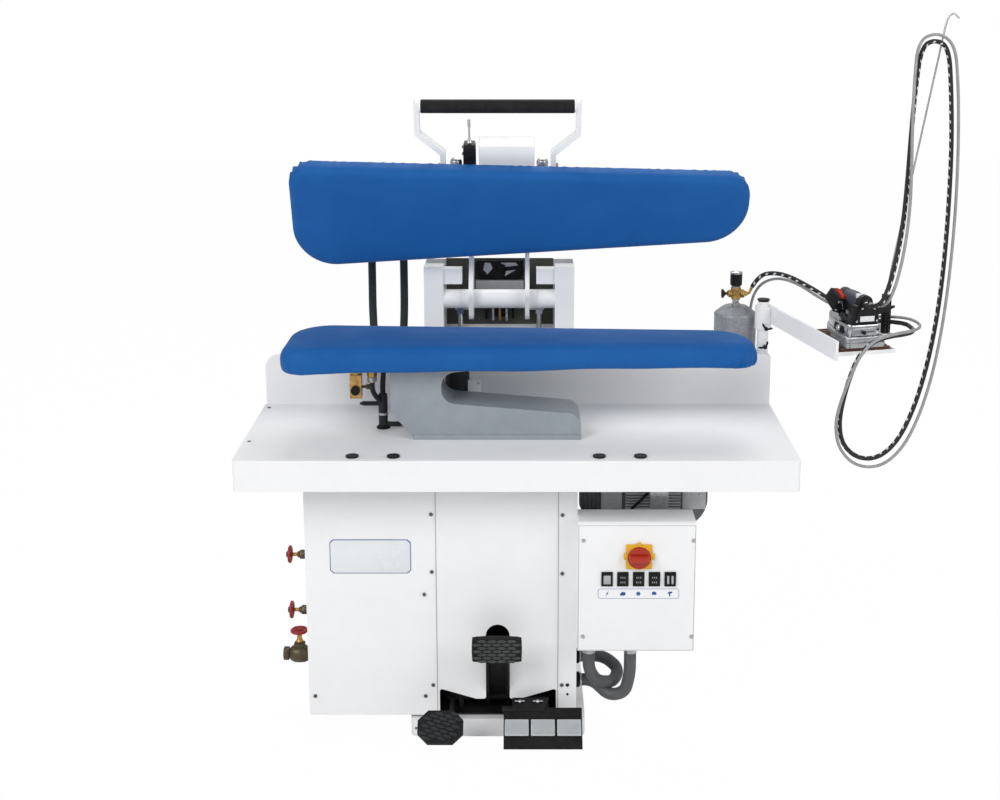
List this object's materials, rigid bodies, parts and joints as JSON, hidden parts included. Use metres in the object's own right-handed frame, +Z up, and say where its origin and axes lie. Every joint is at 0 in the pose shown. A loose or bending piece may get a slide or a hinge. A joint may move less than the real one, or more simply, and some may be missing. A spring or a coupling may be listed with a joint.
{
  "type": "garment press",
  "caption": "Free-standing garment press with hinged padded head over a padded buck, foot pedals, worktable and a steam iron on a swinging rest.",
  "frame": {"origin": "centre of the base frame's floor bolt pattern, on the floor", "axes": "+X to the operator's right along the boards, +Y to the back, +Z up"},
  "size_m": [1.8464, 0.7513, 1.866],
  "materials": {
    "white_paint": "fine textured white powder coat",
    "pedestal_paint": "satin blue-grey paint on a casting",
    "black_paint": "satin black paint",
    "blue_cloth": "satin woven cotton cover over felt",
    "cast_aluminium": "machined casting",
    "polished_metal": "polished cast cover",
    "zinc_steel": "bright zinc",
    "brass": "raw brass",
    "black_rubber": "moulded tread",
    "hose_rubber": "braided hose",
    "grey_plastic": "ribbed conduit",
    "black_plastic": "moulded",
    "red_plastic": "moulded",
    "yellow_plastic": "moulded",
    "red_paint": "red enamel",
    "brown_silicone": "ribbed silicone",
    "grip_plastic": "soft grip",
    "boiler_jacket": "insulating jacket",
    "blower_paint": "grey enamel",
    "silver_jacket": "speckled silver paint",
    "pale_rubber": "light grey moulded pads"
  },
  "bodies": {
    "frame": {"base_frame": "white_paint", "left_casing": "white_paint", "centre_panel": "white_paint", "right_side_panel": "white_paint", "boiler_vessel": "boiler_jacket", "worktable": "white_paint", "table_plugs": "black_plastic", "upstand": "white_paint", "rear_posts": "white_paint", "pivot_shaft": "zinc_steel", "pedestal": "pedestal_paint", "buck_chest": "cast_aluminium", "buck_pad": "blue_cloth", "strut_cylinders": "black_paint", "pedal_bracket": "black_paint", "control_box": "white_paint", "switch_bezels": "black_plastic", "switch_plate": "yellow_plastic", "cable_glands": "zinc_steel", "conduits": "grey_plastic", "blower_housing": "blower_paint", "valve_bodies": "brass", "separator_tank": "silver_jacket", "separator_fittings": "brass", "stand_post": "white_paint", "buck_fittings": "brass", "buck_hoses": "hose_rubber", "head_hoses": "hose_rubber", "iron_leads_feed": "hose_rubber"},
    "head": {"head_pad": "blue_cloth", "head_shoe": "cast_aluminium", "head_arms": "white_paint", "head_handle": "white_paint", "head_cover": "white_paint", "limit_switch": "black_plastic"},
    "whisker": {"whisker": "zinc_steel"},
    "strut_rods": {"strut_rods": "zinc_steel"},
    "press_pedal": {"press_pedal": "black_paint", "press_pedal_pad": "black_rubber"},
    "release_pedal": {"release_pedal": "black_rubber"},
    "vacuum_pedal": {"vacuum_pedal": "black_paint", "vacuum_pads": "pale_rubber"},
    "main_knob": {"main_knob": "red_plastic"},
    "rocker_1": {"rocker_1": "black_plastic"},
    "rocker_2": {"rocker_2": "black_plastic"},
    "rocker_3": {"rocker_3": "black_plastic"},
    "rocker_4": {"rocker_4": "black_plastic"},
    "valve_wheel_upper": {"valve_wheel_upper": "red_paint"},
    "valve_wheel_lower": {"valve_wheel_lower": "red_paint"},
    "globe_wheel": {"globe_wheel": "red_paint"},
    "throttle_knob": {"throttle_knob": "black_plastic"},
    "iron_stand": {"stand_arm": "white_paint", "iron_rest": "brown_silicone", "stand_spring": "black_paint", "stand_rod": "zinc_steel", "iron_leads_loop": "hose_rubber"},
    "iron": {"iron_sole": "cast_aluminium", "iron_body": "polished_metal", "iron_grip": "grip_plastic"},
    "iron_trigger": {"iron_trigger": "red_plastic"}
  },
  "joints": [
    {"name": "head_hinge", "type": "hinge", "parent": "frame", "child": "head", "pos_m": [0, 0.12, 1.085], "axis": [1, 0, 0], "range_deg": [0, 70], "stiffness_Nm_per_rad": 74, "springref_deg": -46.98, "deforming": ["head_hoses"]},
    {"name": "strut_slide", "type": "slide", "parent": "frame", "child": "strut_rods", "axis": [0, 0, 1], "range_m": [0, 0.0762]},
    {"name": "whisker_flex", "type": "hinge", "parent": "head", "child": "whisker", "pos_m": [-0.0755, 0.0228, 1.5204], "axis": [1, 0, 0], "range_deg": [-8, 8], "stiffness_Nm_per_rad": 0.3},
    {"name": "press_pedal_hinge", "type": "hinge", "parent": "frame", "child": "press_pedal", "pos_m": [0, -0.235, 0.084], "axis": [1, 0, 0], "range_deg": [0, 26], "stiffness_Nm_per_rad": 20, "springref_deg": -14.32},
    {"name": "release_pedal_hinge", "type": "hinge", "parent": "frame", "child": "release_pedal", "pos_m": [-0.118, -0.235, 0.084], "axis": [1, 0, 0], "range_deg": [0, 8], "stiffness_Nm_per_rad": 15, "springref_deg": -11.46},
    {"name": "vacuum_pedal_hinge", "type": "hinge", "parent": "frame", "child": "vacuum_pedal", "pos_m": [0.12, -0.235, 0.084], "axis": [1, 0, 0], "range_deg": [0, 6], "stiffness_Nm_per_rad": 20, "springref_deg": -11.46},
    {"name": "main_switch_turn", "type": "hinge", "parent": "frame", "child": "main_knob", "pos_m": [0.359, -0.36, 0.521], "axis": [0, -1, 0], "range_deg": [0, 90]},
    {"name": "rocker_1_tilt", "type": "hinge", "parent": "frame", "child": "rocker_1", "pos_m": [0.319, -0.345, 0.46], "axis": [1, 0, 0], "range_deg": [0, 16]},
    {"name": "rocker_2_tilt", "type": "hinge", "parent": "frame", "child": "rocker_2", "pos_m": [0.359, -0.345, 0.46], "axis": [1, 0, 0], "range_deg": [0, 16]},
    {"name": "rocker_3_tilt", "type": "hinge", "parent": "frame", "child": "rocker_3", "pos_m": [0.399, -0.345, 0.46], "axis": [1, 0, 0], "range_deg": [0, 16]},
    {"name": "rocker_4_tilt", "type": "hinge", "parent": "frame", "child": "rocker_4", "pos_m": [0.439, -0.345, 0.46], "axis": [1, 0, 0], "range_deg": [0, 16]},
    {"name": "valve_upper_turn", "type": "hinge", "parent": "frame", "child": "valve_wheel_upper", "pos_m": [-0.564, -0.1, 0.426], "axis": [-1, 0, 0], "range_deg": [0, 1080]},
    {"name": "valve_lower_turn", "type": "hinge", "parent": "frame", "child": "valve_wheel_lower", "pos_m": [-0.564, -0.1, 0.266], "axis": [-1, 0, 0], "range_deg": [0, 1080]},
    {"name": "globe_valve_turn", "type": "hinge", "parent": "frame", "child": "globe_wheel", "pos_m": [-0.546, -0.1, 0.205], "axis": [0, 0, 1], "range_deg": [0, 1080]},
    {"name": "throttle_turn", "type": "hinge", "parent": "frame", "child": "throttle_knob", "pos_m": [0.62, 0.205, 1.081], "axis": [-1, 0, 0], "range_deg": [0, 270]},
    {"name": "stand_swing", "type": "hinge", "parent": "frame", "child": "iron_stand", "pos_m": [0.735, 0.15, 1.03], "axis": [0, 0, 1], "range_deg": [-14, 60], "deforming": ["iron_leads_feed"]},
    {"name": "iron_lift", "type": "slide", "parent": "iron_stand", "child": "iron", "axis": [0, 0, 1], "range_m": [0, 0.1], "deforming": ["iron_leads_loop"]},
    {"name": "iron_trigger_push", "type": "slide", "parent": "iron", "child": "iron_trigger", "axis": [0.2334, -0.9724, 0], "range_m": [0, 0.003], "stiffness_N_per_m": 400}
  ],
  "couplings": [
    {"joint": "strut_slide", "follows": "head_hinge", "m_per_rad": 0.06197}
  ]
}
